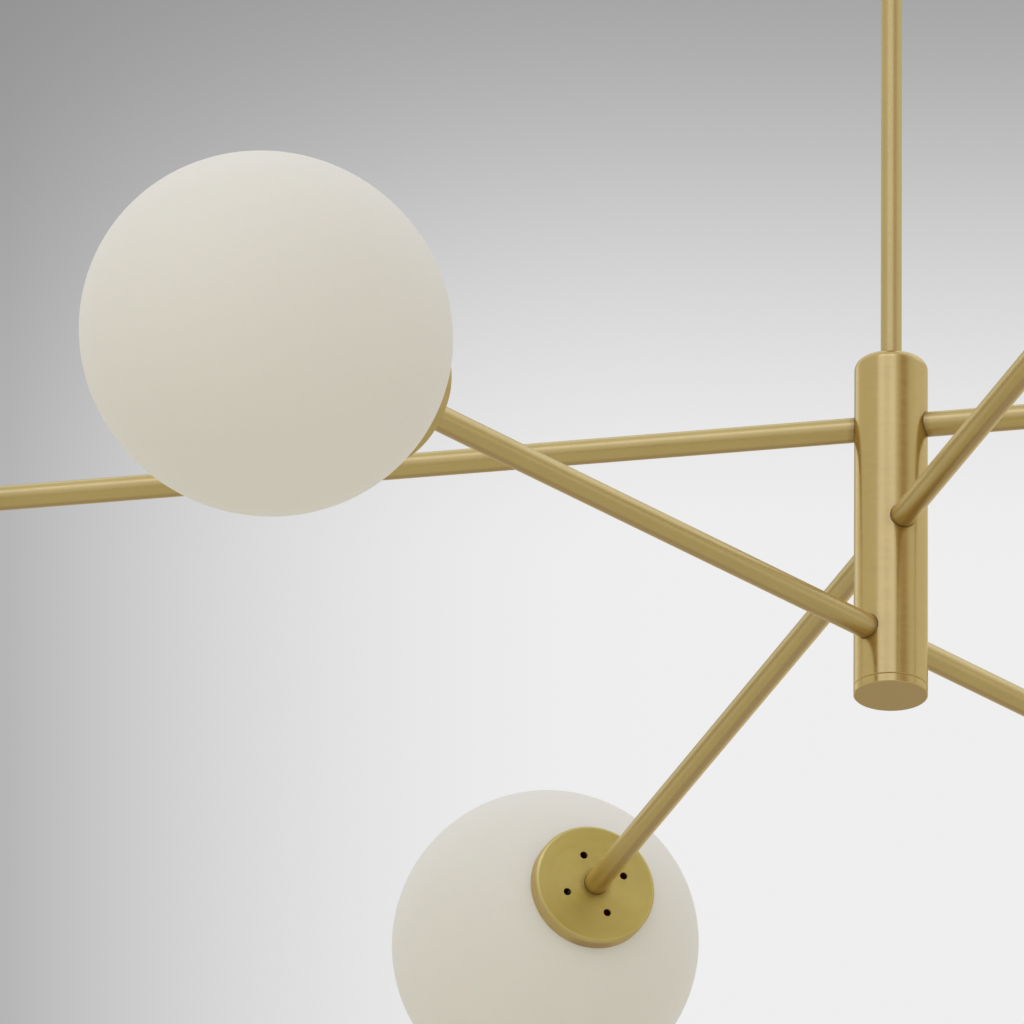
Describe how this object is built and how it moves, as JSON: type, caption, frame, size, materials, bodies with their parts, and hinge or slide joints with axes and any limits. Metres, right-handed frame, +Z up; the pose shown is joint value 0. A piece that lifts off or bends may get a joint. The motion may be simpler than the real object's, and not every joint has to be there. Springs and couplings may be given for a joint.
{
  "type": "branch chandelier",
  "caption": "Ceiling chandelier: crossed brass arms through a round brass hub on a swivelling stem, an opal glass globe in a vented cap at each arm end.",
  "frame": {"origin": "middle of the ceiling face, midway between the two ceiling screw slots", "axes": "+Z up to the ceiling, X along the top arm, which is also the bracket's length; the light hangs below the origin"},
  "size_m": [1.2536, 1.106, 0.7111],
  "materials": {
    "brushed_brass": "satin brushed brass, lacquered",
    "plain_brass": "plain turned brass",
    "zinc_steel": "zinc plated steel",
    "white_ceramic": "unglazed white ceramic",
    "frosted_lamp": "frosted capsule lamp",
    "white_plastic": "white polyamide",
    "opal_glass": "matt opal glass, not see-through"
  },
  "bodies": {
    "ceiling_parts": {"ceiling_bracket": "zinc_steel", "canopy": "brushed_brass", "canopy_screws": "brushed_brass", "canopy_nipple": "plain_brass", "canopy_washer": "zinc_steel", "canopy_nut": "plain_brass", "terminal_block": "white_plastic", "terminal_screws": "plain_brass", "earth_screw": "zinc_steel", "swivel_housing": "brushed_brass"},
    "swivel_head": {"swivel_bolt": "plain_brass", "stop_pin": "zinc_steel", "swivel_fork": "brushed_brass", "swivel_pin": "brushed_brass", "swivel_nut": "brushed_brass"},
    "hanging_frame": {"stem_knuckle": "brushed_brass", "stem": "brushed_brass", "stem_washer": "zinc_steel", "stem_nut": "plain_brass", "hub": "brushed_brass", "hub_cap": "brushed_brass", "arm_top": "brushed_brass", "arm_middle": "brushed_brass", "arm_bottom": "brushed_brass", "arm_grub_screws": "zinc_steel", "end_nipples": "plain_brass", "end_nuts": "plain_brass", "holder_straps": "zinc_steel", "end_cap_top_right": "brushed_brass", "lamp_holder_top_right": "white_ceramic", "lamp_top_right": "frosted_lamp", "end_cap_top_left": "brushed_brass", "lamp_holder_top_left": "white_ceramic", "lamp_top_left": "frosted_lamp", "end_cap_middle_near": "brushed_brass", "lamp_holder_middle_near": "white_ceramic", "lamp_middle_near": "frosted_lamp", "end_cap_middle_far": "brushed_brass", "lamp_holder_middle_far": "white_ceramic", "lamp_middle_far": "frosted_lamp", "end_cap_bottom_far": "brushed_brass", "lamp_holder_bottom_far": "white_ceramic", "lamp_bottom_far": "frosted_lamp", "end_cap_bottom_near": "brushed_brass", "lamp_holder_bottom_near": "white_ceramic", "lamp_bottom_near": "frosted_lamp"},
    "globe_top_right_glass": {"globe_top_right": "opal_glass"},
    "globe_top_left_glass": {"globe_top_left": "opal_glass"},
    "globe_middle_near_glass": {"globe_middle_near": "opal_glass"},
    "globe_middle_far_glass": {"globe_middle_far": "opal_glass"},
    "globe_bottom_far_glass": {"globe_bottom_far": "opal_glass"},
    "globe_bottom_near_glass": {"globe_bottom_near": "opal_glass"}
  },
  "joints": [
    {"name": "swivel_turn", "type": "hinge", "parent": "ceiling_parts", "child": "swivel_head", "pos_m": [0, 0, -0.041], "axis": [0, 0, 1], "range_deg": [-160, 160]},
    {"name": "swivel_tilt", "type": "hinge", "parent": "swivel_head", "child": "hanging_frame", "pos_m": [0, 0, -0.0583], "axis": [0, 1, 0], "range_deg": [-30, 30]},
    {"name": "globe_top_right_turn", "type": "hinge", "parent": "hanging_frame", "child": "globe_top_right_glass", "pos_m": [0.542, 0, -0.52106], "axis": [1, 0, 0], "range_deg": [0, 360]},
    {"name": "globe_top_left_turn", "type": "hinge", "parent": "hanging_frame", "child": "globe_top_left_glass", "pos_m": [-0.542, 0, -0.52106], "axis": [-1, 0, 0], "range_deg": [0, 360]},
    {"name": "globe_middle_near_turn", "type": "hinge", "parent": "hanging_frame", "child": "globe_middle_near_glass", "pos_m": [0.271, -0.46939, -0.57506], "axis": [0.5, -0.866, 0], "range_deg": [0, 360]},
    {"name": "globe_middle_far_turn", "type": "hinge", "parent": "hanging_frame", "child": "globe_middle_far_glass", "pos_m": [-0.271, 0.46939, -0.57506], "axis": [-0.5, 0.866, 0], "range_deg": [0, 360]},
    {"name": "globe_bottom_far_turn", "type": "hinge", "parent": "hanging_frame", "child": "globe_bottom_far_glass", "pos_m": [0.2115, 0.36633, -0.63106], "axis": [0.5, 0.866, 0], "range_deg": [0, 360]},
    {"name": "globe_bottom_near_turn", "type": "hinge", "parent": "hanging_frame", "child": "globe_bottom_near_glass", "pos_m": [-0.2115, -0.36633, -0.63106], "axis": [-0.5, -0.866, 0], "range_deg": [0, 360]}
  ]
}
